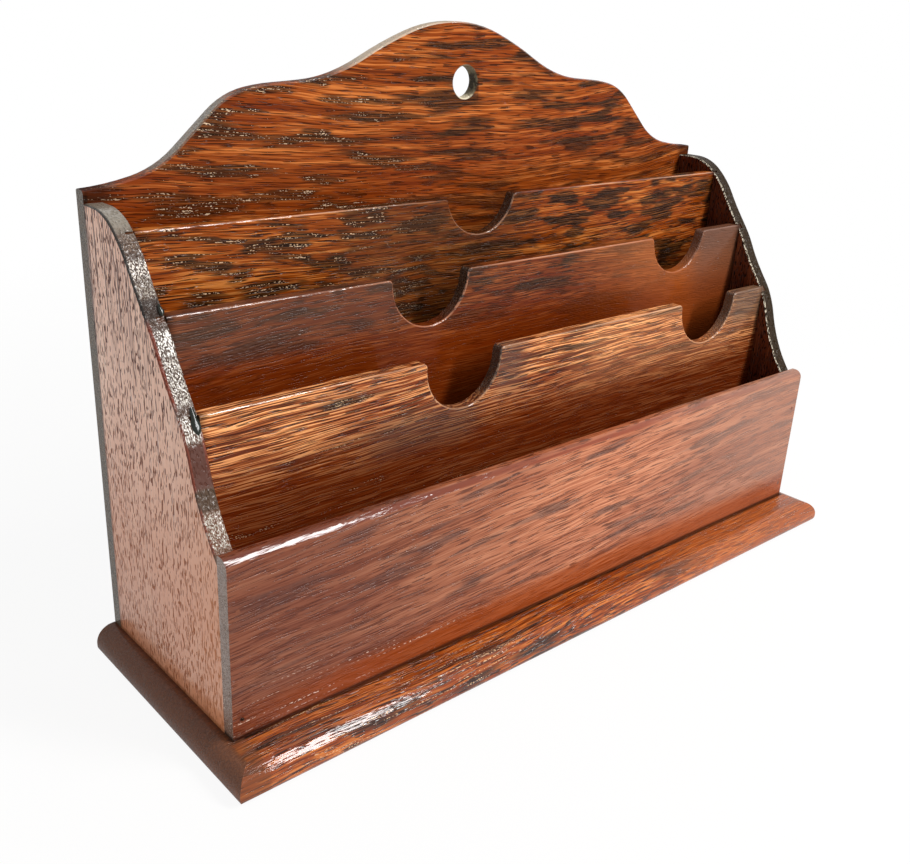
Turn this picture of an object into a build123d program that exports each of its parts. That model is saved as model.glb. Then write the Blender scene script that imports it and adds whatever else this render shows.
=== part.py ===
from build123d import *
from math import sqrt
import os

# Letter rack in stained and varnished oak: a back board with a scrolled top, two
# serpentine sides, three dividers housed in the sides, a low front and a moulded base.
# X runs along the rack, Y from the front to the rear and Z up. The origin is the centre
# of the base board's underside. All sizes are in millimetres.

# Body, measured over the outer faces
body_width = 305.0

# Thickness of each board
back_thickness = 5.0
side_thickness = 6.5
divider_thickness = 5.0
front_thickness = 5.5
base_thickness = 10.5

# Free gap of each pocket, from the rear one to the front one
rear_pocket = 16.0
second_pocket = 13.0
third_pocket = 12.5
front_pocket = 18.5

# Heights above the base board's top face
side_height = 153.5
shoulder_height = 157.5
ledge_height = 189.1
arch_height = 209.8
rear_divider_height = 148.0
middle_divider_height = 126.0
front_divider_height = 100.0
front_height = 64.0

# Base board: how far it stands out from the body, and its thumbnail moulding
base_end_overhang = 7.5
base_front_overhang = 16.5
moulding_round = 6.5
foot_round = 3.0

# Scrolled top of the back board, as distances from each end inwards
cove_from_end = 35.0
cove_height = 168.4
knuckle_from_end = 62.0
knuckle_height = 186.9
arch_from_end = 84.0
sweep_share = 0.63
sweep_share_of_rise = 0.37
scroll_offset = -2.0

# How steeply the scroll climbs towards the crown at each of those places
shoulder_slope = 0.06
cove_slope = 0.9
knuckle_slope = 0.2
ledge_slope = 0.08
sweep_slope = 0.52

# Hanging hole near the crown of the back board
hang_hole_diameter = 12.0
hang_hole_offset = 3.5
hang_hole_below_crown = 21.8

# Serpentine front edge of the sides. It leaves the rear corner level, rolls over in
# front of the rear divider, and swells again in front of each of the other two.
level_run = 6.5
roll_forward = 7.8
roll_drop = 9.5
roll_slope = 1.6
middle_swell_forward = 4.8
middle_swell_drop = 9.0
middle_swell_slope = 1.9
front_swell_forward = 4.5
front_swell_drop = 12.7
front_swell_slope = 3.5
edge_over_divider = 1.7
hollow_slope = 1.28
foot_slope = 1.15
edge_under_front_board = 3.0

# Housings cut into the sides for the divider ends
housing_depth = 3.0
housing_clearance = 0.1
tongue_below_edge = 0.6

# Finger scoops: cutter radius, centre along the rack, height of centre over the edge
scoop_radius = 17.5
wide_scoop_radius = 19.0
scoop_ear_round = 2.0
rear_scoop_at = -3.7
rear_scoop_rise = 2.9
middle_left_scoop_at = -42.9
middle_left_scoop_rise = -1.6
middle_right_scoop_at = 101.0
middle_right_scoop_rise = 0.7
front_left_scoop_at = -40.5
front_left_scoop_rise = -2.6
front_right_scoop_at = 105.0
front_right_scoop_rise = -0.9

# Softened arrises
scroll_ease = 0.5
serpentine_ease = 0.4
divider_front_round = 0.8
divider_rear_ease = 0.4
front_board_round = 3.3
front_board_rear_ease = 0.8

# Brads of flat wire, punched below the surface. Those in the front leave round punch
# marks, which are stopped with wax, all but one
brad_width = 1.4
brad_thickness = 1.0
brad_length = 18.0
brad_sink = 0.8
brad_clearance = 0.03
punch_mark_diameter = 1.7
front_brad_low = 7.0
front_brad_high = 46.0
back_brad_low = 14.0
back_brad_high = 138.0
back_brad_count = 3
base_brad_count = 4
base_brad_end_margin = 22.0

# Derived places
half_width = body_width / 2
inner_half = half_width - side_thickness
body_depth = (
    back_thickness + rear_pocket + second_pocket + third_pocket + front_pocket
    + 3 * divider_thickness + front_thickness
)
base_depth = body_depth + base_front_overhang
base_width = body_width + 2 * base_end_overhang
rear_y = base_depth / 2
side_rear_y = rear_y - back_thickness
front_board_front_y = rear_y - body_depth
front_board_rear_y = front_board_front_y + front_thickness

# Front faces of the dividers, and the level of their tops
rear_divider_y = side_rear_y - rear_pocket - divider_thickness
middle_divider_y = rear_divider_y - second_pocket - divider_thickness
front_divider_y = middle_divider_y - third_pocket - divider_thickness
rear_divider_top = base_thickness + rear_divider_height
middle_divider_top = base_thickness + middle_divider_height
front_divider_top = base_thickness + front_divider_height
side_top = base_thickness + side_height
front_top = base_thickness + front_height

# Centre planes that the brads are driven along
side_centre_x = half_width - side_thickness / 2
back_centre_y = rear_y - back_thickness / 2
front_centre_y = front_board_front_y + front_thickness / 2


def arc_joint(start, start_direction, end, end_direction):
    """Point where an arc leaving the start meets the arc that arrives at the end."""
    span = end - start
    both = start_direction + end_direction
    bend = 2 * (1 - start_direction.dot(end_direction))
    reach = (sqrt(span.dot(both) ** 2 + bend * span.dot(span)) - span.dot(both)) / bend
    return (start + end + (start_direction - end_direction) * reach) * 0.5


def compass_curve(points, directions):
    """Two tangent arcs between neighbouring points, as if struck with a compass."""
    points = [Vector(*point) for point in points]
    directions = [Vector(*direction).normalized() for direction in directions]
    for index in range(len(points) - 1):
        start, end = points[index], points[index + 1]
        joint = arc_joint(start, directions[index], end, directions[index + 1])
        leaving = TangentArc(start, joint, tangent=directions[index])
        TangentArc(joint, end, tangent=leaving % 1)


def serpentine(drop=0.0):
    """Points and directions of the sides' front edge as (y, z), from the rear forwards."""
    swells = [
        (rear_divider_y - roll_forward, rear_divider_top - roll_drop),
        (middle_divider_y - middle_swell_forward, middle_divider_top - middle_swell_drop),
        (front_divider_y - front_swell_forward, front_divider_top - front_swell_drop),
    ]
    hollows = [
        (middle_divider_y + divider_thickness / 2, middle_divider_top + edge_over_divider),
        (front_divider_y + divider_thickness / 2, front_divider_top + edge_over_divider),
    ]
    points = [
        (side_rear_y - level_run, side_top),
        swells[0],
        hollows[0],
        swells[1],
        hollows[1],
        swells[2],
        (front_board_rear_y, front_top - edge_under_front_board),
    ]
    slopes = [
        0.0,
        roll_slope,
        hollow_slope,
        middle_swell_slope,
        hollow_slope,
        front_swell_slope,
        foot_slope,
    ]
    return [(y, z - drop) for y, z in points], [(-1, -slope) for slope in slopes]


def scroll_half(side):
    """Points and directions of the back board's top from one end to the crown."""
    arch_half = half_width - arch_from_end
    arch_rise = arch_height - ledge_height
    heights = [
        shoulder_height,
        cove_height,
        knuckle_height,
        ledge_height,
        ledge_height + arch_rise * sweep_share_of_rise,
        arch_height,
    ]
    distances = [
        half_width - scroll_offset * side,
        half_width - cove_from_end,
        half_width - knuckle_from_end,
        arch_half,
        arch_half * sweep_share,
        0.0,
    ]
    slopes = [shoulder_slope, cove_slope, knuckle_slope, ledge_slope, sweep_slope, 0.0]
    points = [(scroll_offset + side * d, base_thickness + h) for d, h in zip(distances, heights)]
    directions = [(-side, slope) for slope in slopes]
    return points, directions


def spread(first, last, count):
    step = (last - first) / (count - 1)
    return [first + step * index for index in range(count)]


# Frames where the brads go in, each with its own Z pointing out of the board. The brads
# go through the front, the back and the base into the boards behind them.
front_brad_frames = [
    Plane(origin=(side * side_centre_x, front_board_front_y, base_thickness + height), z_dir=(0, -1, 0))
    for side in (-1, 1)
    for height in (front_brad_low, front_brad_high)
]
back_brad_frames = [
    Plane(origin=(side * side_centre_x, rear_y, base_thickness + height), z_dir=(0, 1, 0))
    for side in (-1, 1)
    for height in spread(back_brad_low, back_brad_high, back_brad_count)
]
last_base_brad_x = half_width - base_brad_end_margin
base_brad_places = [
    (x, y)
    for y in (back_centre_y, front_centre_y)
    for x in spread(-last_base_brad_x, last_base_brad_x, base_brad_count)
]
base_brad_places += [
    (side * side_centre_x, y)
    for side in (-1, 1)
    for y in (side_rear_y - rear_pocket / 2, middle_divider_y - third_pocket / 2)
]
base_brad_frames = [Plane(origin=(x, y, 0), z_dir=(0, 0, -1)) for x, y in base_brad_places]

# The low brad at the left end of the front has lost its stopping
stopped_brad_frames = front_brad_frames[1:]


def drive_holes(frames):
    """The holes that the brads make for themselves in the board being built."""
    with Locations(*frames):
        Box(
            brad_width + 2 * brad_clearance,
            brad_thickness + 2 * brad_clearance,
            brad_sink + brad_length,
            align=(Align.CENTER, Align.CENTER, Align.MAX),
            mode=Mode.SUBTRACT,
        )


def brads(frames):
    """Headless brads, sunk below the surface of the outer board."""
    with BuildPart() as group:
        with Locations(*frames):
            with Locations((0, 0, -brad_sink)):
                Box(
                    brad_width,
                    brad_thickness,
                    brad_length,
                    align=(Align.CENTER, Align.CENTER, Align.MAX),
                )
    return group


def stoppings(frames):
    """Wax that fills the punch marks, flush with the board."""
    with BuildPart() as group:
        with Locations(*frames):
            Cylinder(
                punch_mark_diameter / 2,
                brad_sink,
                align=(Align.CENTER, Align.CENTER, Align.MAX),
            )
    return group


def is_scroll(face):
    return face.center().Z > base_thickness + shoulder_height


# Base board, moulded along the front and both ends, square at the rear
with BuildPart() as base_board:
    with BuildSketch():
        Rectangle(base_width, base_depth)
    extrude(amount=base_thickness)
    top_edges = base_board.faces().sort_by(Axis.Z)[-1].edges().sort_by(Axis.Y)[:-1]
    foot_edges = base_board.faces().sort_by(Axis.Z)[0].edges().sort_by(Axis.Y)[:-1]
    fillet(top_edges, radius=moulding_round)
    fillet(foot_edges, radius=foot_round)
    drive_holes(base_brad_frames)

# Back board: straight ends, scrolled top and one hole to hang it by
with BuildPart() as back_board:
    with BuildSketch(Plane.XZ.offset(-rear_y)):
        with BuildLine():
            left_points, left_directions = scroll_half(-1)
            right_points, right_directions = scroll_half(1)
            compass_curve(left_points, left_directions)
            compass_curve(right_points, right_directions)
            Polyline(
                left_points[0],
                (-half_width, base_thickness),
                (half_width, base_thickness),
                right_points[0],
            )
        make_face()
        with Locations((hang_hole_offset, base_thickness + arch_height - hang_hole_below_crown)):
            Circle(hang_hole_diameter / 2, mode=Mode.SUBTRACT)
    extrude(amount=back_thickness)
    scroll_faces = back_board.faces().filter_by(GeomType.CYLINDER).filter_by(is_scroll)
    chamfer(scroll_faces.edges().filter_by(GeomType.CIRCLE), length=scroll_ease)
    drive_holes(back_brad_frames)
    drive_holes(base_brad_frames)

# Left side: the grain stands upright. A housing for each divider runs down the inner
# face from level with the divider's top, and breaks out through the serpentine edge
housings = [
    (rear_divider_y, rear_divider_top),
    (middle_divider_y, middle_divider_top),
    (front_divider_y, front_divider_top),
]
side_points, side_directions = serpentine()
with BuildPart() as left_side:
    with BuildSketch(Plane.YZ.offset(-half_width)):
        with BuildLine():
            compass_curve(side_points, side_directions)
            Polyline(
                side_points[-1],
                (front_board_rear_y, base_thickness),
                (side_rear_y, base_thickness),
                (side_rear_y, side_top),
                side_points[0],
            )
        make_face()
    extrude(amount=side_thickness)
    serpentine_faces = left_side.faces().filter_by(GeomType.CYLINDER)
    chamfer(serpentine_faces.edges().filter_by(GeomType.CIRCLE), length=serpentine_ease)
    for divider_y, divider_top in housings:
        with BuildSketch(Plane.XY.offset(base_thickness)):
            with Locations((-inner_half, divider_y - housing_clearance)):
                Rectangle(
                    housing_depth,
                    divider_thickness + 2 * housing_clearance,
                    align=(Align.MAX, Align.MIN),
                )
        extrude(amount=divider_top + housing_clearance - base_thickness, mode=Mode.SUBTRACT)
    for frames in (front_brad_frames, back_brad_frames, base_brad_frames):
        drive_holes(frames)

# Right side: the same board the other way round
with BuildPart() as right_side:
    mirror(left_side.part, about=Plane.YZ)


def divider(front_y, top, scoops):
    """A divider with finger scoops, its ends trimmed to the sides' edge in the housings."""
    width = 2 * (inner_half + housing_depth - housing_clearance)
    points, directions = serpentine(tongue_below_edge)
    with BuildPart() as board:
        with BuildSketch(Plane.XZ.offset(-front_y - divider_thickness)) as outline:
            with Locations((0, base_thickness)):
                Rectangle(width, top - base_thickness, align=(Align.CENTER, Align.MIN))
            for along, rise, radius in scoops:
                with Locations((along, top + rise)):
                    Circle(radius, mode=Mode.SUBTRACT)
            ears = outline.vertices().group_by(Axis.Y)[-1].sort_by(Axis.X)[1:-1]
            fillet(ears, radius=scoop_ear_round)
        extrude(amount=divider_thickness)
        lowest = top + min(rise - radius for along, rise, radius in scoops)
        front_edges = board.faces().sort_by(Axis.Y)[0].edges()
        fillet(front_edges.filter_by(lambda edge: edge.center().Z > lowest), radius=divider_front_round)
        rear_edges = board.faces().sort_by(Axis.Y)[-1].edges()
        chamfer(rear_edges.filter_by(lambda edge: edge.center().Z > lowest), length=divider_rear_ease)
        for side in (-1, 1):
            with BuildSketch(Plane.YZ.offset(side * inner_half)):
                with BuildLine():
                    compass_curve(points, directions)
                    Polyline(
                        points[-1],
                        (front_board_rear_y, side_top),
                        (side_rear_y, side_top),
                        (side_rear_y, side_top - tongue_below_edge),
                        points[0],
                    )
                make_face()
            extrude(amount=side * housing_depth, mode=Mode.SUBTRACT)
    return board


rear_divider = divider(
    rear_divider_y,
    rear_divider_top,
    [(rear_scoop_at, rear_scoop_rise, scoop_radius)],
)
middle_divider = divider(
    middle_divider_y,
    middle_divider_top,
    [
        (middle_left_scoop_at, middle_left_scoop_rise, scoop_radius),
        (middle_right_scoop_at, middle_right_scoop_rise, scoop_radius),
    ],
)
front_divider = divider(
    front_divider_y,
    front_divider_top,
    [
        (front_left_scoop_at, front_left_scoop_rise, scoop_radius),
        (front_right_scoop_at, front_right_scoop_rise, wide_scoop_radius),
    ],
)

# Front board: full width, over the ends of the sides, with a rounded top
with BuildPart() as front_board:
    with BuildSketch(Plane.XZ.offset(-front_board_rear_y)):
        with Locations((0, base_thickness)):
            Rectangle(body_width, front_height, align=(Align.CENTER, Align.MIN))
    extrude(amount=front_thickness)
    top_edges = front_board.faces().sort_by(Axis.Z)[-1].edges().sort_by(Axis.Y)
    fillet(top_edges[0], radius=front_board_round)
    top_edges = front_board.faces().sort_by(Axis.Z)[-1].edges().sort_by(Axis.Y)
    fillet(top_edges[-1], radius=front_board_rear_ease)
    drive_holes(front_brad_frames)
    with Locations(*front_brad_frames):
        Hole(punch_mark_diameter / 2, depth=brad_sink)
    drive_holes(base_brad_frames)

nodes = {
    "base_board": base_board,
    "back_board": back_board,
    "left_side": left_side,
    "right_side": right_side,
    "rear_divider": rear_divider,
    "middle_divider": middle_divider,
    "front_divider": front_divider,
    "front_board": front_board,
    "front_brads": brads(front_brad_frames),
    "back_brads": brads(back_brad_frames),
    "base_brads": brads(base_brad_frames),
    "brad_stoppings": stoppings(stopped_brad_frames),
}

os.makedirs("parts", exist_ok=True)
for name, piece in nodes.items():
    piece.part.label = name
    export_step(piece.part, f"parts/{name}.step")
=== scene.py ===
import bmesh
import bpy
import math
from mathutils import Matrix, Vector


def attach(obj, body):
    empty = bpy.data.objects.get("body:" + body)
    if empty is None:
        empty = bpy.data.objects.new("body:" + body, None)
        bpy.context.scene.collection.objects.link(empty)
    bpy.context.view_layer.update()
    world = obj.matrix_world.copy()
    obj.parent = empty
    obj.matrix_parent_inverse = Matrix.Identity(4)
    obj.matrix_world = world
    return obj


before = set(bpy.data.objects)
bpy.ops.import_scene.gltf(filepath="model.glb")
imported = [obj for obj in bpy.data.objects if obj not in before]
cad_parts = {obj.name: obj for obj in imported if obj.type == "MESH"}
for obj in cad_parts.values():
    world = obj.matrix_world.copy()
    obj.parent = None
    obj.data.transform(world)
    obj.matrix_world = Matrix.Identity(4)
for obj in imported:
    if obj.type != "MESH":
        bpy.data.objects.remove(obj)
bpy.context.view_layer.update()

scene = bpy.context.scene
print("letter rack frame loaded:", len(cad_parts), "pieces")


def linear(hexColour):
    # sRGB hex to the linear values that Blender works in
    channels = [int(hexColour[i:i + 2], 16) / 255 for i in (0, 2, 4)]
    return [c / 12.92 if c <= 0.04045 else ((c + 0.055) / 1.055) ** 2.4 for c in channels] + [1.0]


def addNode(tree, kind, sockets, out=0, **settings):
    # adds a node, fills its sockets with links, values or hex colours, and hands back one output
    node = tree.nodes.new("ShaderNode" + kind)
    for name, value in settings.items():
        setattr(node, name, value)
    for socket, value in sockets.items():
        if isinstance(value, bpy.types.NodeSocket):
            tree.links.new(value, node.inputs[socket])
        else:
            node.inputs[socket].default_value = linear(value) if isinstance(value, str) else value
    return node.outputs[out] if node.outputs else None


def newTree(owner):
    owner.use_nodes = True
    owner.node_tree.nodes.clear()
    return owner.node_tree


# Camera: close to the rack's left front corner, looking a little down
camera = {
    "place": (-0.27922, -0.26819, 0.22423),     # metres
    "turn": (67.534, -2.456, -40.601),          # degrees
    "lens": 40.725,                             # mm
    "sensor": 36,                               # mm wide
    "shift": (0.01434, 0.00327),
    "clip": (0.01, 50),                         # metres
}
cameraData = bpy.data.cameras.new("camera")
cameraData.sensor_fit = "HORIZONTAL"
cameraData.sensor_width = camera["sensor"]
cameraData.lens = camera["lens"]
cameraData.shift_x, cameraData.shift_y = camera["shift"]
cameraData.clip_start, cameraData.clip_end = camera["clip"]
cameraObject = bpy.data.objects.new("camera", cameraData)
cameraObject.location = camera["place"]
cameraObject.rotation_euler = [math.radians(angle) for angle in camera["turn"]]
scene.collection.objects.link(cameraObject)
scene.camera = cameraObject
print("camera placed")


# Studio: one long soft lamp overhead to the front right, running front to back, and white all round
studio = {
    "lampPlace": (0.61, -0.93, 1.09),   # metres
    "lampAim": (0, 0, 0.09),
    "lampSize": (0.26, 1.20),
    "lampPower": 24.5,                  # watts
    "skyLevel": 0.38,                   # light from all round
    "floorRadius": 12,                  # metres
    "floorColour": "fbf9f7",            # the floor as the rack sees it
    "shadowDepth": 0.08,                # how much of the floor's white a shadow may take
    "shadowReach": (0.30, 0.70),        # metres from the rack's middle where shadows fade out
}
lampData = bpy.data.lights.new("softLamp", "AREA")
lampData.shape = "RECTANGLE"
lampData.size, lampData.size_y = studio["lampSize"]
lampData.energy = studio["lampPower"]
lamp = bpy.data.objects.new("softLamp", lampData)
lamp.location = studio["lampPlace"]
back = (lamp.location - Vector(studio["lampAim"])).normalized()
side = (Vector((1, 0, 0)) - back * back.x).normalized()
lamp.rotation_euler = Matrix((side, back.cross(side), back)).transposed().to_euler()
scene.collection.objects.link(lamp)


def whereWhite(tree):
    # 1 where the eye, a reflection or a hole shows the surroundings, 0 for light that falls on the rack
    eye = addNode(tree, "LightPath", {}, "Is Camera Ray")
    gloss = addNode(tree, "LightPath", {}, "Is Glossy Ray")
    through = addNode(tree, "LightPath", {}, "Is Transmission Ray")
    either = addNode(tree, "Math", {0: eye, 1: gloss}, operation="MAXIMUM")
    return addNode(tree, "Math", {0: either, 1: through}, operation="MAXIMUM")


scene.world = bpy.data.worlds.new("whiteRoom")
tree = newTree(scene.world)
level = addNode(tree, "MapRange", {"Value": whereWhite(tree), "To Min": studio["skyLevel"]})
sky = addNode(tree, "Background", {"Color": "ffffff", "Strength": level})
addNode(tree, "OutputWorld", {"Surface": sky})

bpy.ops.mesh.primitive_circle_add(vertices=96, radius=studio["floorRadius"], fill_type="NGON")
floor = bpy.context.object
floor.name = "floor"
floorPaint = bpy.data.materials.new("whitePaintedFloor")    # matt, so it only gives the contact shadow
tree = newTree(floorPaint)
place = addNode(tree, "TexCoord", {}, "Object")
away = addNode(tree, "VectorMath", {0: place}, "Value", operation="LENGTH")
near, far = studio["shadowReach"]
fade = addNode(tree, "MapRange", {"Value": away, "From Min": near, "From Max": far,
                                  "To Min": studio["shadowDepth"], "To Max": 0.0},
               interpolation_type="SMOOTHSTEP")
share = addNode(tree, "Mix", {0: whereWhite(tree), 2: 1.0, 3: fade})        # of the paint, the rest glows
glow = addNode(tree, "Math", {0: 1.0, 1: share}, operation="SUBTRACT")
paint = addNode(tree, "BsdfDiffuse", {"Color": studio["floorColour"]})
light = addNode(tree, "Emission", {"Color": "ffffff", "Strength": 1.0})
surface = addNode(tree, "MixShader", {0: glow, 1: paint, 2: light})
addNode(tree, "OutputMaterial", {"Surface": surface})
floor.data.materials.append(floorPaint)
print("white floor and soft lamp placed")


# Plain sawn oak, stained and gloss varnished by hand. The eye gets warm orange wood with dark
# figure, short dark pores along the grain, and a film of varnish that mirrors at a low angle.
# These values are what the boards share, and each board's own dictionary overrides some of them.
# A size is in mm along the grain and across it, and through the board where it has a third number.
oak = {
    "axes": "xzy",                      # along the grain, across it and through the board
    "shift": 0.0,                       # mm, slides the figure so that no two boards match
    "slope": 0.0,                       # how far the grain climbs along the board
    "bow": 0.0,                         # mm that it bends over 100 mm
    "wander": 16.0,                     # mm that it strays
    "wanderSize": (190.0, 80.0, 40.0),
    "wobble": 2.6,                      # mm of smaller waves
    "wobbleSize": (34.0, 14.0, 12.0),
    "light": "d07830", "mid": "904418", "deep": "5a240d",
    "streak": (13.0, 0.42),             # real streaks are 0.2 wide, drawn as coarse as shows
    "contrast": 1.3,                    # of the fine streaks
    "broadness": 0.45,                  # of the broad ones
    "warm": "7a2a0b",                   # where the stain is redder
    "driftSize": (90.0, 26.0, 20.0),    # of the redder stretches
    "dark": "33211a",                   # figure
    "figure": (60.0, 4.6),              # one dark patch
    "figureShare": 0.57,                # lower gives more dark figure
    "figureDepth": 0.85,
    "pore": "1e0e09",
    "poreSize": (8.0, 0.42),            # real ones are 0.2 wide, drawn 0.3
    "poreShare": 0.57,                  # lower gives more pores
    "poreDrift": 0.15,                  # how much they gather in some parts
    "poreDepth": 0.8,
    "endGrain": "5a4a3c", "endSpeck": "241913",
    "speckSize": (0.9, 0.45, 0.45),     # open vessels in the end grain, 0.3 across, drawn a little larger
    "endFrom": (0.20, 0.75),            # how far a face must turn to the end before it shows end grain
    "edgeGrain": 0.0,                   # 1 where the long edges are cut across the grain too
    "worn": "a04a22",                   # arrises where the stain has rubbed thin
    "wornShare": 0.45,                  # higher leaves fewer worn stretches
    "glintFleckSize": (0.7, 0.27, 0.27),     # painted glints of the lamp in the pores, 0.1 across, drawn as small as shows
    "glintRowSize": (55.0, 0.7, 0.7),        # pores where painted glints run in rows
    "dotSize": (0.9, 0.34, 0.34),       # the painted glint dots in those rows, 0.2 across, drawn 0.3
    "glintSize": (3.2, 0.38, 0.38),     # painted glints where torn fibres of a sawn edge catch the lamp
    "lineSize": (46.0, 0.75, 0.75),     # long dark lines down a face
    "breakSize": (7.0, 2.5, 2.5),       # patches that a broken mark falls into
    "gritSize": (1.6, 0.6, 0.6),        # nibs in the varnish, 0.3 across, drawn coarser to show
    "rippleSize": (9.0, 5.0, 5.0),      # brush ripples in the varnish
    "pits": 1.6,                        # depth of the pores under the varnish, which catch the lamp
    "endRelief": 1.0,                   # nibs on end grain
    "figureRelief": 0.7,                # and over dark figure
    "plainRelief": 0.1,                 # and elsewhere
    "woodBump": 0.00015,                # metres for a height of 1 in the wood
    "filmBump": 0.00012,                # and in the varnish over it
    "film": 0.45,                       # varnish on plain wood, 1 is a full gloss coat
    "wetPores": 0.15,                   # varnish standing in pores and figure
    "dryPores": 0.0,                    # 1 where pores go without
    "endFilm": 1.0,                     # varnish on end grain
    "filmRoughness": 0.07,
    "woodRoughness": 0.42,
    "poreRoughness": 0.2,               # more than the wood around
    "ior": 1.5,                         # of varnish and wood alike
    "specular": 0.0,                    # mirroring of the wood itself, under the varnish
    # A mark is its slabs (axis, middle, half width and fade in mm), how strong it is, its colour, None
    # where it only changes the varnish, and words that keep it to edges, painted glint flecks, painted
    # glint rows, painted glints, lines or broken patches; dull takes varnish away and smooth takes the nibs
    # away.
    "marks": [],
}


def stainedOak(name, board):
    material = bpy.data.materials.new(name)
    tree = newTree(material)
    place = addNode(tree, "TexCoord", {}, "Object")
    mm = addNode(tree, "VectorMath", {0: place, 3: 1000.0}, operation="SCALE")
    facing = addNode(tree, "TexCoord", {}, "Normal")
    split, turned = {}, {}
    for axis in "xyz":
        split[axis] = addNode(tree, "SeparateXYZ", {0: mm}, axis.upper())
        turned[axis] = addNode(tree, "SeparateXYZ", {0: facing}, axis.upper())
    alongAxis, acrossAxis, deepAxis = board["axes"]

    def cloud(size, detail=1.0):
        # a cloudy field, 0 to 1, that follows the grain
        cells = {}
        for socket, (value, length) in enumerate(zip(grain, size)):
            cells[socket] = addNode(tree, "Math", {0: value, 1: length}, operation="DIVIDE")
        flow = addNode(tree, "CombineXYZ", cells)
        return addNode(tree, "TexNoise", {"Vector": flow, "Scale": 1.0, "Detail": detail})

    def lean(field, amount, base):
        # adds a field, centred on nothing, to a value
        centred = addNode(tree, "Math", {0: field, 1: 0.5}, operation="SUBTRACT")
        return addNode(tree, "Math", {0: centred, 1: amount, 2: base}, operation="MULTIPLY_ADD")

    # the flow of the grain: a slope, a bow and slow wandering
    run = split[alongAxis]
    along = addNode(tree, "Math", {0: run, 1: board["shift"]}, operation="ADD")
    across = addNode(tree, "Math", {0: run, 1: -board["slope"], 2: split[acrossAxis]},
                     operation="MULTIPLY_ADD")
    squared = addNode(tree, "Math", {0: run, 1: run}, operation="MULTIPLY")
    across = addNode(tree, "Math", {0: squared, 1: -board["bow"] / 100.0 ** 2, 2: across},
                     operation="MULTIPLY_ADD")
    grain = [along, across, split[deepAxis]]
    across = lean(cloud(board["wanderSize"]), board["wander"], across)
    across = lean(cloud(board["wobbleSize"]), board["wobble"], across)
    grain[1] = across

    # fine and broad streaks, slow drifts, and dark figure that the streaks fray
    length, width = board["streak"]
    fine = cloud((length, width, width * 1.6))
    broad = cloud((length * 3.0, width * 4.0, width * 6.0))
    streaks = lean(fine, board["contrast"], lean(broad, board["broadness"], 0.5))
    drift = cloud(board["driftSize"])
    length, width = board["figure"]
    figure = lean(fine, 0.20, lean(broad, 0.14, cloud((length, width, width * 2.2), 2.0)))
    figureFrom = board["figureShare"]
    figure = addNode(tree, "MapRange", {"Value": figure, "From Min": figureFrom - 0.03,
                                        "From Max": figureFrom + 0.06}, interpolation_type="SMOOTHSTEP")

    # pores are thin lines, denser in the figure, and painted glint flecks gather where pores do
    length, width = board["poreSize"]
    shade = lean(figure, 0.06, cloud((length, width, width * 1.5), 0.0))
    crowd = lean(figure, 0.20, lean(drift, 0.2, shade))
    flat = addNode(tree, "Math", {0: turned[deepAxis]}, operation="ABSOLUTE")
    endOn = addNode(tree, "Math", {0: turned[alongAxis]}, operation="ABSOLUTE")

    # soft thresholds: a field gives 0 at its first number and 1 at its second
    poreFrom, wornFrom = board["poreShare"], board["wornShare"]
    soft = {
        "mid": (streaks, 0.28, 0.46),
        "light": (streaks, 0.48, 0.70),
        "warm": (drift, 0.42, 0.62),
        "pore": (lean(drift, board["poreDrift"], shade), poreFrom, poreFrom + 0.035),
        "pit": (shade, poreFrom - 0.05, poreFrom + 0.12),
        "end": (endOn, *board["endFrom"]),
        "speck": (cloud(board["speckSize"], 2.0), 0.40, 0.62),
        "edge": (flat, 0.95, 0.70),
        "arrisEdge": (flat, 0.25, 0.5),
        "arrisFace": (flat, 0.97, 0.85),
        "worn": (broad, wornFrom - 0.12, wornFrom + 0.12),
        "glintFleck": (lean(cloud(board["glintFleckSize"], 0.0), 1.0, crowd), 0.88, 0.97),
        "glintRow": (lean(figure, 0.06, cloud(board["glintRowSize"], 0.0)), 0.64, 0.70),
        "dot": (cloud(board["dotSize"], 0.0), 0.54, 0.64),
        "glint": (cloud(board["glintSize"], 0.0), 0.49, 0.60),
        "line": (cloud(board["lineSize"], 0.0), 0.57, 0.62),
        "broken": (cloud(board["breakSize"]), 0.36, 0.56),
    }
    for word, (field, low, high) in soft.items():
        soft[word] = addNode(tree, "MapRange", {"Value": field, "From Min": low, "From Max": high},
                             interpolation_type="SMOOTHSTEP")
    soft["glintRow"] = addNode(tree, "Math", {0: soft["glintRow"], 1: soft["dot"]}, operation="MULTIPLY")

    # ends and edges across the grain take more stain, and arrises lie between an edge and a face
    cut = addNode(tree, "Math", {0: soft["edge"], 1: board["edgeGrain"]}, operation="MULTIPLY")
    ends = addNode(tree, "Math", {0: soft["end"], 1: cut}, operation="MAXIMUM")
    arris = addNode(tree, "Math", {0: soft["arrisEdge"], 1: soft["arrisFace"]}, operation="MULTIPLY")

    # colours laid over the deep one in turn, each with where it goes and how strong it is
    endColour = addNode(tree, "Mix", {0: soft["speck"], 6: board["endSpeck"], 7: board["endGrain"]}, 2,
                        data_type="RGBA")
    layers = (
        (soft["mid"], 1.0, board["mid"]),
        (soft["light"], 1.0, board["light"]),
        (soft["warm"], 0.3, board["warm"]),
        (figure, lean(fine, -1.2, board["figureDepth"]), board["dark"]),
        (soft["pore"], board["poreDepth"], board["pore"]),
        (ends, 0.9, endColour),
        (arris, soft["worn"], board["worn"]),
    )
    colour = board["deep"]
    for field, strength, over in layers:
        share = addNode(tree, "Math", {0: field, 1: strength}, operation="MULTIPLY")
        colour = addNode(tree, "Mix", {0: share, 6: colour, 7: over}, 2, data_type="RGBA")
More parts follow.
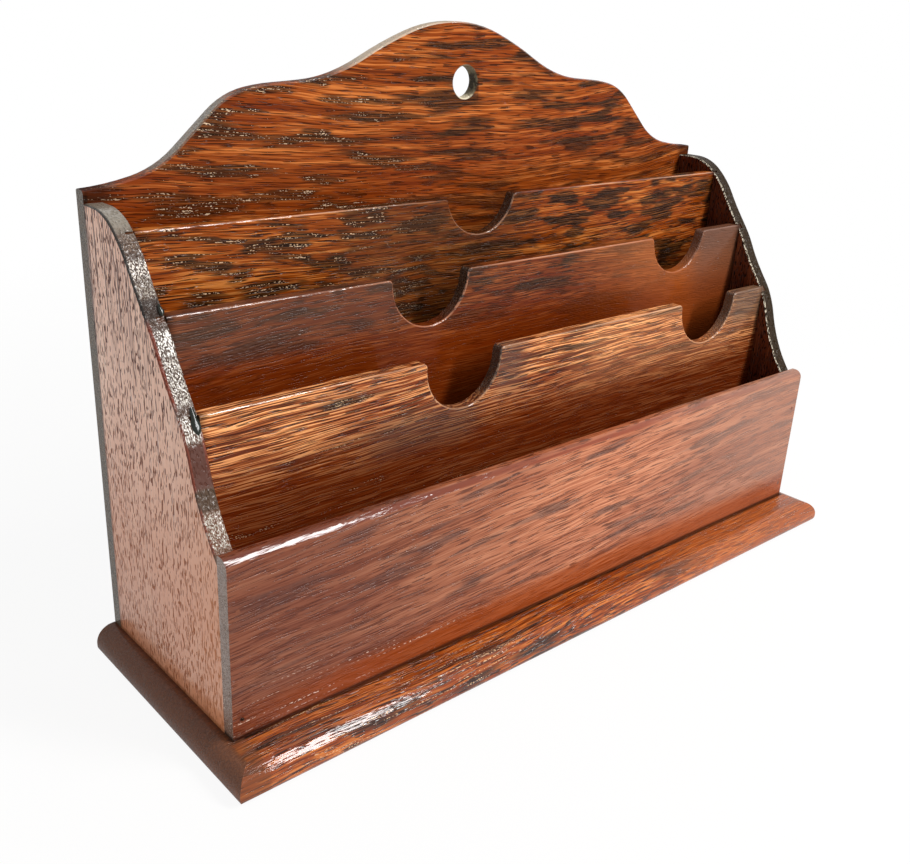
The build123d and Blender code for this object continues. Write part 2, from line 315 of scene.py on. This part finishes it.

    # marks: dirt and painted shade along joints, rubbed arrises, painted highlights, glints, reflections
    # and shade, and dull or smooth stretches, inside their slabs
    dull = addNode(tree, "Math", {0: soft["pore"], 1: board["dryPores"]}, operation="MULTIPLY")
    smooth = 0.0
    for slabs, mark, hexColour, words in board["marks"]:
        for axis, middle, half, fadeOut in slabs:
            gap = addNode(tree, "Math", {0: split[axis], 1: middle}, operation="SUBTRACT")
            gap = addNode(tree, "Math", {0: gap}, operation="ABSOLUTE")
            inside = addNode(tree, "MapRange", {"Value": gap, "From Min": half, "From Max": half - fadeOut},
                             interpolation_type="SMOOTHSTEP")
            mark = addNode(tree, "Math", {0: mark, 1: inside}, operation="MULTIPLY")
        for word in words.split():
            if word in soft:
                mark = addNode(tree, "Math", {0: mark, 1: soft[word]}, operation="MULTIPLY")
        if hexColour:
            colour = addNode(tree, "Mix", {0: mark, 6: colour, 7: hexColour}, 2, data_type="RGBA")
        if "dull" in words:
            dull = addNode(tree, "Math", {0: dull, 1: mark}, operation="MAXIMUM")
        if "smooth" in words:
            smooth = addNode(tree, "Math", {0: smooth, 1: mark}, operation="MAXIMUM")

    # the varnish sinks into the pores and has nibs over figure and end grain, which gives small glints
    nibs = addNode(tree, "Math", {0: figure, 1: board["figureRelief"], 2: board["plainRelief"]},
                   operation="MULTIPLY_ADD")
    nibs = addNode(tree, "Math", {0: ends, 1: board["endRelief"], 2: nibs}, operation="MULTIPLY_ADD")
    left = addNode(tree, "Math", {0: 1.0, 1: smooth}, operation="SUBTRACT")
    nibs = addNode(tree, "Math", {0: nibs, 1: left}, operation="MULTIPLY")
    grit = lean(cloud(board["gritSize"], 0.0), 2.0, 0.0)
    height = addNode(tree, "Math", {0: grit, 1: nibs}, operation="MULTIPLY")
    height = addNode(tree, "Math", {0: soft["pit"], 1: -board["pits"], 2: height},
                     operation="MULTIPLY_ADD")
    height = lean(cloud(board["rippleSize"]), 0.9, lean(fine, 0.7, height))
    woodBump = addNode(tree, "Bump", {"Height": height, "Strength": 0.8, "Distance": board["woodBump"]})
    filmBump = addNode(tree, "Bump", {"Height": height, "Strength": 0.8, "Distance": board["filmBump"]})

    # the film is full on ends and arrises, stands in the pores and is thin or gone where a mark is dull
    dark = addNode(tree, "Math", {0: soft["pore"], 1: figure}, operation="MAXIMUM")
    wet = addNode(tree, "Math", {0: dark, 1: board["wetPores"]}, operation="MULTIPLY")
    outer = addNode(tree, "Math", {0: ends, 1: arris}, operation="MAXIMUM")
    outer = addNode(tree, "Math", {0: outer, 1: board["endFilm"]}, operation="MULTIPLY")
    wet = addNode(tree, "Math", {0: wet, 1: outer}, operation="MAXIMUM")
    film = addNode(tree, "Math", {0: wet, 1: 1.0 - board["film"], 2: board["film"]},
                   operation="MULTIPLY_ADD")
    left = addNode(tree, "Math", {0: dull, 1: -0.9, 2: 1.0}, operation="MULTIPLY_ADD")
    film = addNode(tree, "Math", {0: film, 1: left}, operation="MULTIPLY")
    roughness = addNode(tree, "Math", {0: soft["pore"], 1: board["poreRoughness"],
                                       2: board["woodRoughness"]}, operation="MULTIPLY_ADD")
    surface = addNode(tree, "BsdfPrincipled", {
        "Base Color": colour, "Roughness": roughness, "IOR": board["ior"], "Normal": woodBump,
        "Specular IOR Level": board["specular"], "Coat Weight": film, "Coat IOR": board["ior"],
        "Coat Roughness": board["filmRoughness"], "Coat Normal": filmBump})
    addNode(tree, "OutputMaterial", {"Surface": surface})
    return material


def dress(node, material):
    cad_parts[node].material_slots[0].material = material
    print("dressed", node)


# where a divider or the back board meets the sides: old polish, and painted shade where the pockets' ends
# lie dark
dirtAndShade = "1a0d08"
pocketEndDirtAndShade = [([("x", end, 6.5, 4.5)], 0.75, dirtAndShade, "dull") for end in (-148.8, 148.8)]

backBoard = {
    "shift": 90.0, "slope": -0.02, "bow": 3.0, "film": 0.14, "wetPores": 0.05,
    "light": "cc7638", "mid": "8c4012", "deep": "5e260c", "dark": "33200f", "pore": "280f05",
    "endGrain": "a09078", "endSpeck": "6c5e4c", "worn": "844e2c", "wornShare": 0.6,
    "streak": (24.0, 0.46), "contrast": 0.85, "broadness": 0.6,
    "figure": (34.0, 5.0), "figureShare": 0.54, "figureDepth": 0.82,
    "marks": pocketEndDirtAndShade + [
        # the hanging hole's wall, and painted shade on its right side, broken up
        ([("x", 3.5, 8.0, 1.5), ("z", 198.5, 8.0, 1.5)], 0.9, "7a7058", "edge dull"),
        ([("x", 9.6, 1.6, 0.9), ("z", 197.0, 6.5, 3.0)], 0.8, "20140c", "broken"),
        # painted highlight along the crown's edge
        ([("x", -35.0, 50.0, 30.0), ("z", 214.0, 14.0, 8.0)], 0.6, "e4d6bc", "edge"),
        # duller and a little redder low down, above the rear divider
        ([("z", 146.0, 34.0, 24.0), ("x", 0.0, 151.5, 0.8)], 0.5, None, "dull"),
        ([("z", 146.0, 34.0, 24.0), ("x", 0.0, 151.5, 0.8)], 0.16, "9c400a", ""),
        # painted light on the hole's lower lip, and painted glints in the left part
        ([("x", 3.5, 6.0, 4.0), ("z", 192.0, 3.0, 2.0)], 0.9, "e0d4b8", "edge"),
        ([("x", -90.0, 90.0, 60.0), ("y", 46.0, 2.0, 0.5)], 0.8, "e8c8a4", "glintFleck"),
    ],
}
dress("back_board", stainedOak("stainedOakBackBoard", {**oak, **backBoard}))

rearDivider = {
    "shift": 700.0, "film": 0.18, "wetPores": 0.05,
    # the pale worn colour on the rubbed arrises is partly a painted highlight along the top
    "light": "cc7c3a", "mid": "8e400c", "deep": "56260c", "dark": "33200f", "worn": "c58a63",
    "streak": (20.0, 0.5), "contrast": 1.0, "figure": (20.0, 4.8), "figureShare": 0.51,
    "marks": pocketEndDirtAndShade + [
        ([("x", -25.0, 65.0, 45.0)], 0.6, "3a2010", ""),            # darker about the middle
        ([("x", -110.0, 90.0, 50.0)], 0.8, "ecc49c", "glintFleck"),      # painted glints in the left part
    ],
}
dress("rear_divider", stainedOak("stainedOakRearDivider", {**oak, **rearDivider}))

middleDivider = {
    "shift": 1400.0, "film": 0.32, "pits": 0.7,
    # the pale worn colour on the rubbed arrises is partly a painted highlight along the top
    "light": "a05c30", "mid": "643010", "dark": "33200f", "worn": "b87a58",
    "streak": (20.0, 0.45), "contrast": 1.2, "figure": (30.0, 6.0), "figureShare": 0.53,
    "marks": [
        # lighter to the right, painted shade low down in the pocket, redder and duller, a darker stain at
        # the top left, and painted shade with a grey painted reflection by the right side
        ([("x", 130.0, 110.0, 90.0)], 0.55, "c06c34", ""),
        ([("z", 86.0, 44.0, 24.0)], 0.7, "702600", "dull"),
        ([("x", -105.0, 75.0, 40.0), ("z", 134.0, 20.0, 12.0)], 0.42, "5a3c2e", ""),
        ([("x", 138.0, 34.0, 18.0), ("z", 140.0, 44.0, 38.0)], 0.8, "543c32", ""),
    ] + pocketEndDirtAndShade,
}
dress("middle_divider", stainedOak("stainedOakMiddleDivider", {**oak, **middleDivider}))

frontDivider = {
    "shift": 2100.0, "wander": 8.0, "film": 0.35,
    # the pale worn colour on the rubbed arrises is partly a painted highlight along the top
    "light": "fcb070", "mid": "ae602e", "deep": "642a10", "dark": "3a2010", "worn": "d09a70",
    "streak": (26.0, 0.46), "contrast": 2.1, "figureShare": 0.62,
    "marks": pocketEndDirtAndShade + [
        # painted shade low down, redder and duller, and a touch lighter to the right
        ([("z", 62.0, 42.0, 30.0)], 0.9, "602004", "dull"),
        ([("x", 75.0, 75.0, 40.0), ("z", 102.0, 26.0, 16.0)], 0.1, "ffb884", ""),
        # a darker grey-brown stain right of the left scoop and below it, and painted shade with a grey
        # painted reflection at the right end
        ([("x", -18.0, 13.0, 11.0), ("z", 104.0, 18.0, 14.0)], 0.6, "4c3c36", ""),
        ([("x", -58.0, 34.0, 20.0), ("z", 86.0, 11.0, 8.0)], 0.5, "4e3c34", ""),
        ([("x", 142.0, 26.0, 12.0), ("z", 112.0, 24.0, 14.0)], 0.85, "5c4638", ""),
        ([("x", -100.0, 110.0, 50.0)], 0.45, "f4cc9c", "glintFleck"),    # painted glints in the left part
    ],
}
dress("front_divider", stainedOak("stainedOakFrontDivider", {**oak, **frontDivider}))

frontBoard = {
    "shift": 2800.0, "slope": 0.04, "wander": 10.0, "film": 0.62, "pits": 0.8, "endRelief": 0.4,
    "light": "d48c66", "mid": "b86e4a", "deep": "8c4a2c", "dark": "5e4238", "pore": "4a2112",
    # its end grain is drawn pale: painted light on the left end, which lies in shade
    "endGrain": "e6d6c0", "endSpeck": "b09c86", "worn": "8a3c1c",
    "streak": (26.0, 0.6), "contrast": 0.95, "broadness": 0.8,
    "figure": (44.0, 5.0), "figureShare": 0.575, "figureDepth": 0.65,
    "poreSize": (9.0, 0.42), "poreShare": 0.58, "poreDepth": 0.75,
    "marks": [
        # darker to the left, paler to the right as a painted reflection of the pale room, and redder and
        # duller low down as a painted reflection of the base
        ([("x", -160.0, 190.0, 170.0)], 0.68, "521e0c", ""),
        ([("x", 160.0, 150.0, 120.0)], 0.6, "98705e", ""),
        ([("z", 8.0, 18.0, 10.0), ("x", 30.0, 200.0, 70.0)], 0.65, "9c420c", "dull"),
        # dirt and painted shade on the base, and rows of painted glints above it at the left
        ([("z", 10.5, 1.8, 1.2)], 0.75, dirtAndShade, "dull"),
        ([("z", 20.0, 9.0, 4.0), ("x", -120.0, 90.0, 60.0)], 0.8, "fce4cc", "glintRow"),
    ],
}
dress("front_board", stainedOak("stainedOakFrontBoard", {**oak, **frontBoard}))

leftSide = {
    "axes": "zyx", "shift": 3500.0, "wander": 6.0, "wobble": 0.7, "film": 1.0, "specular": 0.25,
    # the face's pale pink colours are a painted reflection of the pale room in the varnish
    "light": "fcc8a6", "mid": "f0b492", "deep": "d69c80", "warm": "f0a478", "dark": "7a5240",
    "pore": "5e301e", "endGrain": "463428", "endSpeck": "20140e",
    "streak": (24.0, 1.0), "contrast": 0.5, "figure": (26.0, 0.8), "figureShare": 0.655,
    "figureDepth": 0.8, "poreSize": (2.4, 0.52), "poreShare": 0.575, "poreDepth": 1.0,
    "poreDrift": 0.05, "wetPores": 0.0, "dryPores": 1.0,
    "edgeGrain": 1.0, "endRelief": 2.4, "wornShare": 1.2,
    "marks": [
        # dirt and painted shade on the base and along the back board
        ([("z", 10.5, 2.0, 1.4)], 0.7, dirtAndShade, "dull"),
        ([("y", 46.0, 1.2, 0.7)], 0.85, dirtAndShade, "dull"),
        # the face: warmer to the front, and warmer low down where the painted reflection fades; dark lines
        # near the top
        ([("z", 10.0, 110.0, 80.0)], 0.5, "cc7642", "dull"),
        ([("y", -34.0, 34.0, 30.0)], 0.4, "e0905c", ""),
        ([("z", 150.0, 48.0, 40.0)], 0.85, "5e3c2e", "line dull"),
        # the sawn edge from the shoulder down, a grey painted reflection where it rolls over, painted
        # glints and dark stretches in turn below
        ([("z", 100.0, 60.0, 4.0)], 0.75, "46352a", "edge"),
        ([("z", 170.0, 14.0, 5.0)], 0.85, "8a8274", "edge smooth"),
        ([("z", 155.5, 2.6, 1.0)], 0.7, "806a58", "edge glint"),
        ([("z", 149.0, 3.2, 1.4)], 0.95, "ece2d6", "edge glint"),
        ([("z", 144.0, 4.0, 2.0)], 0.5, "c8beb0", "edge glint"),
        ([("z", 138.6, 3.4, 1.6)], 0.85, "2c1e16", "edge dull"),
        ([("z", 129.6, 3.8, 0.8)], 1.0, "fffaf2", "edge glint"),
        ([("z", 119.5, 7.2, 2.5)], 0.8, "ece4d8", "edge glint"),
        ([("z", 107.2, 4.0, 1.0)], 0.9, "f6f0e6", "edge glint"),
        ([("z", 96.6, 7.2, 1.8)], 0.9, "4c2214", "edge smooth dull"),
        ([("z", 87.2, 3.8, 1.5)], 0.7, "3a2e20", "edge dull"),
        ([("z", 79.0, 5.4, 1.5)], 0.6, "d8d2c4", "edge glint"),
        # its outer arris, black above and rubbed to red below, and the same inside
        ([("x", -152.5, 1.0, 0.5), ("z", 150.0, 16.0, 3.0)], 0.9, "140c08", "edge dull"),
        ([("x", -152.5, 1.3, 0.5), ("z", 124.0, 13.0, 4.0)], 0.95, "702a12", "edge dull"),
        ([("x", -152.5, 0.9, 0.4), ("z", 92.0, 22.0, 5.0)], 0.85, "742e16", "edge broken dull"),
        ([("x", -146.0, 1.2, 0.6), ("z", 100.0, 8.0, 4.0)], 0.85, "742e16", "edge broken dull"),
    ],
}
dress("left_side", stainedOak("stainedOakLeftSide", {**oak, **leftSide}))

rightSide = {
    **leftSide, "shift": 4200.0, "film": 0.5, "endFilm": 0.12, "endRelief": 1.4, "specular": 0.0,
    "light": "8a4a2c", "mid": "5e2c18", "deep": "3c1a0e", "warm": "5c200e", "dark": "33200f",
    "pore": "2a0f06", "endGrain": "3a3020", "endSpeck": "1c160c",
    "marks": [
        # the sawn edge: dull and dark, a pale painted reflection on the shoulder, painted glints along the
        # inner arris
        ([("x", 149.3, 6.0, 0.5)], 0.6, "2a1e0e", "edge dull"),
        ([("z", 168.5, 5.0, 3.0)], 0.6, "b0a48e", "edge"),
        ([("x", 146.0, 0.8, 0.3)], 0.95, "f4e8d0", "edge glint"),
    ],
}
dress("right_side", stainedOak("stainedOakRightSide", {**oak, **rightSide}))

baseBoard = {
    "axes": "xyz", "shift": 4900.0, "film": 0.8, "endFilm": 0.25, "endRelief": 0.15,
    "figureRelief": 0.2, "light": "d07834", "mid": "94420e", "contrast": 1.05, "figureShare": 0.60,
    "endGrain": "7c5238", "endSpeck": "462a1a", "endFrom": (0.02, 0.14), "wornShare": 1.2,
    "marks": [
        ([("x", 130.0, 120.0, 80.0)], 0.5, "ac5c2c", ""),           # lighter to the right
        # dirt and painted shade along the front board and both sides
        ([("y", -34.5, 1.6, 1.0), ("x", 0.0, 154.0, 1.0)], 0.75, dirtAndShade, "dull"),
        ([("x", -152.5, 1.6, 1.0), ("y", 8.0, 43.5, 1.0)], 0.75, dirtAndShade, "dull"),
        ([("x", 152.5, 1.6, 1.0), ("y", 8.0, 43.5, 1.0)], 0.75, dirtAndShade, "dull"),
        # the dull left end, and rows of painted glints beside it
        ([("x", -156.0, 8.0, 2.0)], 0.6, "7c4c34", "dull"),
        ([("x", -90.0, 62.0, 30.0)], 0.8, "f0c496", "glintRow"),
    ],
}
dress("base_board", stainedOak("stainedOakBase", {**oak, **baseBoard}))

# Brads: drawn steel wire, dull brown with age, so the eye gets a dark metal end in the open hole
brads = {
    "colour": "4c4541",
    "roughness": (0.4, 0.6),        # from the bright patches to the dull ones
    "patches": 1500.0,              # to a metre, 0.7 mm each; real draw lines are finer
}
steel = bpy.data.materials.new("dulledSteelWire")
tree = newTree(steel)
place = addNode(tree, "TexCoord", {}, "Object")
drawn = addNode(tree, "TexNoise", {"Vector": place, "Scale": brads["patches"], "Detail": 2.0})
bright, dulled = brads["roughness"]
rough = addNode(tree, "MapRange", {"Value": drawn, "To Min": bright, "To Max": dulled})
surface = addNode(tree, "BsdfPrincipled", {
    "Base Color": brads["colour"], "Metallic": 1.0, "Roughness": rough})
addNode(tree, "OutputMaterial", {"Surface": surface})
for node in ("front_brads", "back_brads", "base_brads"):
    dress(node, steel)

# Stoppings: brown wax rubbed level and varnished over, a plain spot that hardly shows in the grain
wax = {
    "colour": "8a4a2a", "speck": "5e2e18",
    "mottle": 1800.0,               # specks to a metre, 0.6 mm each
    "roughness": 0.4,
    "film": 0.8,
    "filmRoughness": 0.1,
}
stopping = bpy.data.materials.new("brownWaxVarnished")
tree = newTree(stopping)
place = addNode(tree, "TexCoord", {}, "Object")
mottle = addNode(tree, "TexNoise", {"Vector": place, "Scale": wax["mottle"], "Detail": 2.0})
colour = addNode(tree, "Mix", {0: mottle, 6: wax["speck"], 7: wax["colour"]}, 2, data_type="RGBA")
surface = addNode(tree, "BsdfPrincipled", {
    "Base Color": colour, "Roughness": wax["roughness"], "Specular IOR Level": 0.0,
    "Coat Weight": wax["film"], "Coat Roughness": wax["filmRoughness"]})
addNode(tree, "OutputMaterial", {"Surface": surface})
dress("brad_stoppings", stopping)

# Varnish that ran along the left edge and set in dark beads where the front and middle dividers let in;
# their near black is also painted shade of the hollow groove ends
bead = {
    "middle": [(-147.5, -10.7, 108.6), (-146.9, 8.6, 138.2)],       # mm
    "half": [(1.5, 4.4), (0.9, 2.0)],                               # half width and half length, mm
    "run": [(-0.477, -0.879), (-0.62, -0.785)],                     # y and z of the edge's run there
    "rise": 0.34,                                                   # mm above its rim
    "sunk": 0.15,                                                   # mm that the rim lies in the wood
    "fullness": 2.4,                                                # higher gives a flatter top
    "rings": 6, "spokes": 32,
    "colour": "0e120c", "cloudy": "1e2418",
    "clouds": 700.0,                                                # to a metre, 1.4 mm each
    "ripple": 0.0002,                                               # metres
    "roughness": 0.3,
    "film": 0.6,
    "filmRoughness": 0.05,
}
# deep gloss over near black, partly painted shade of the groove ends, so the eye gets one sharp streak
pooled = bpy.data.materials.new("pooledVarnishAndShade")
tree = newTree(pooled)
place = addNode(tree, "TexCoord", {}, "Object")
clouds = addNode(tree, "TexNoise", {"Vector": place, "Scale": bead["clouds"], "Detail": 2.0})
colour = addNode(tree, "Mix", {0: clouds, 6: bead["colour"], 7: bead["cloudy"]}, 2, data_type="RGBA")
ripple = addNode(tree, "Bump", {"Height": clouds, "Strength": 0.5, "Distance": bead["ripple"]})
surface = addNode(tree, "BsdfPrincipled", {
    "Base Color": colour, "Roughness": bead["roughness"], "Specular IOR Level": 0.0,
    "Coat Weight": bead["film"], "Coat Roughness": bead["filmRoughness"], "Coat Normal": ripple})
addNode(tree, "OutputMaterial", {"Surface": surface})
for number, (middle, half, (runY, runZ)) in enumerate(zip(bead["middle"], bead["half"], bead["run"])):
    out = Vector((0, runZ, -runY))                                  # away from the edge
    shape = bmesh.new()
    rings = []
    for ring in range(bead["rings"] + 1):
        reach = 1 - ring / bead["rings"]                            # 1 at the rim, 0 on top
        lift = bead["rise"] * math.sqrt(max(0.0, 1 - reach ** bead["fullness"])) - bead["sunk"]
        points = []
        for spoke in range(bead["spokes"] if reach else 1):
            angle = math.tau * spoke / bead["spokes"]
            # a rim that ran by itself is no even oval
            wave = 1 + 0.09 * math.sin(3 * angle + number) + 0.05 * math.sin(5 * angle)
            taper = 1 - 0.35 * abs(math.sin(angle))                 # narrower towards both tips
            droop = 1 - 0.12 * math.sin(angle)                      # and longer towards the upper one
            sideways = half[0] * reach * wave * math.cos(angle) * taper
            lengthways = half[1] * reach * wave * math.sin(angle) * droop
            at = Vector(middle) + Vector((sideways, runY * lengthways, runZ * lengthways)) + out * lift
            points.append(shape.verts.new(at / 1000))
        rings.append(points)
    for outer, inner in zip(rings, rings[1:]):
        for spoke in range(bead["spokes"]):
            following = (spoke + 1) % bead["spokes"]
            corners = [outer[spoke], outer[following]]
            corners += [inner[following], inner[spoke]] if len(inner) > 1 else [inner[0]]
            shape.faces.new(corners).smooth = True
    bmesh.ops.recalc_face_normals(shape, faces=shape.faces)
    mesh = bpy.data.meshes.new("varnishAndShadeBead%d" % number)
    shape.to_mesh(mesh)
    shape.free()
    mesh.materials.append(pooled)
    piece = bpy.data.objects.new(mesh.name, mesh)
    scene.collection.objects.link(piece)
    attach(piece, "root")
print("varnish beads made")

scene.view_settings.view_transform = "Standard"
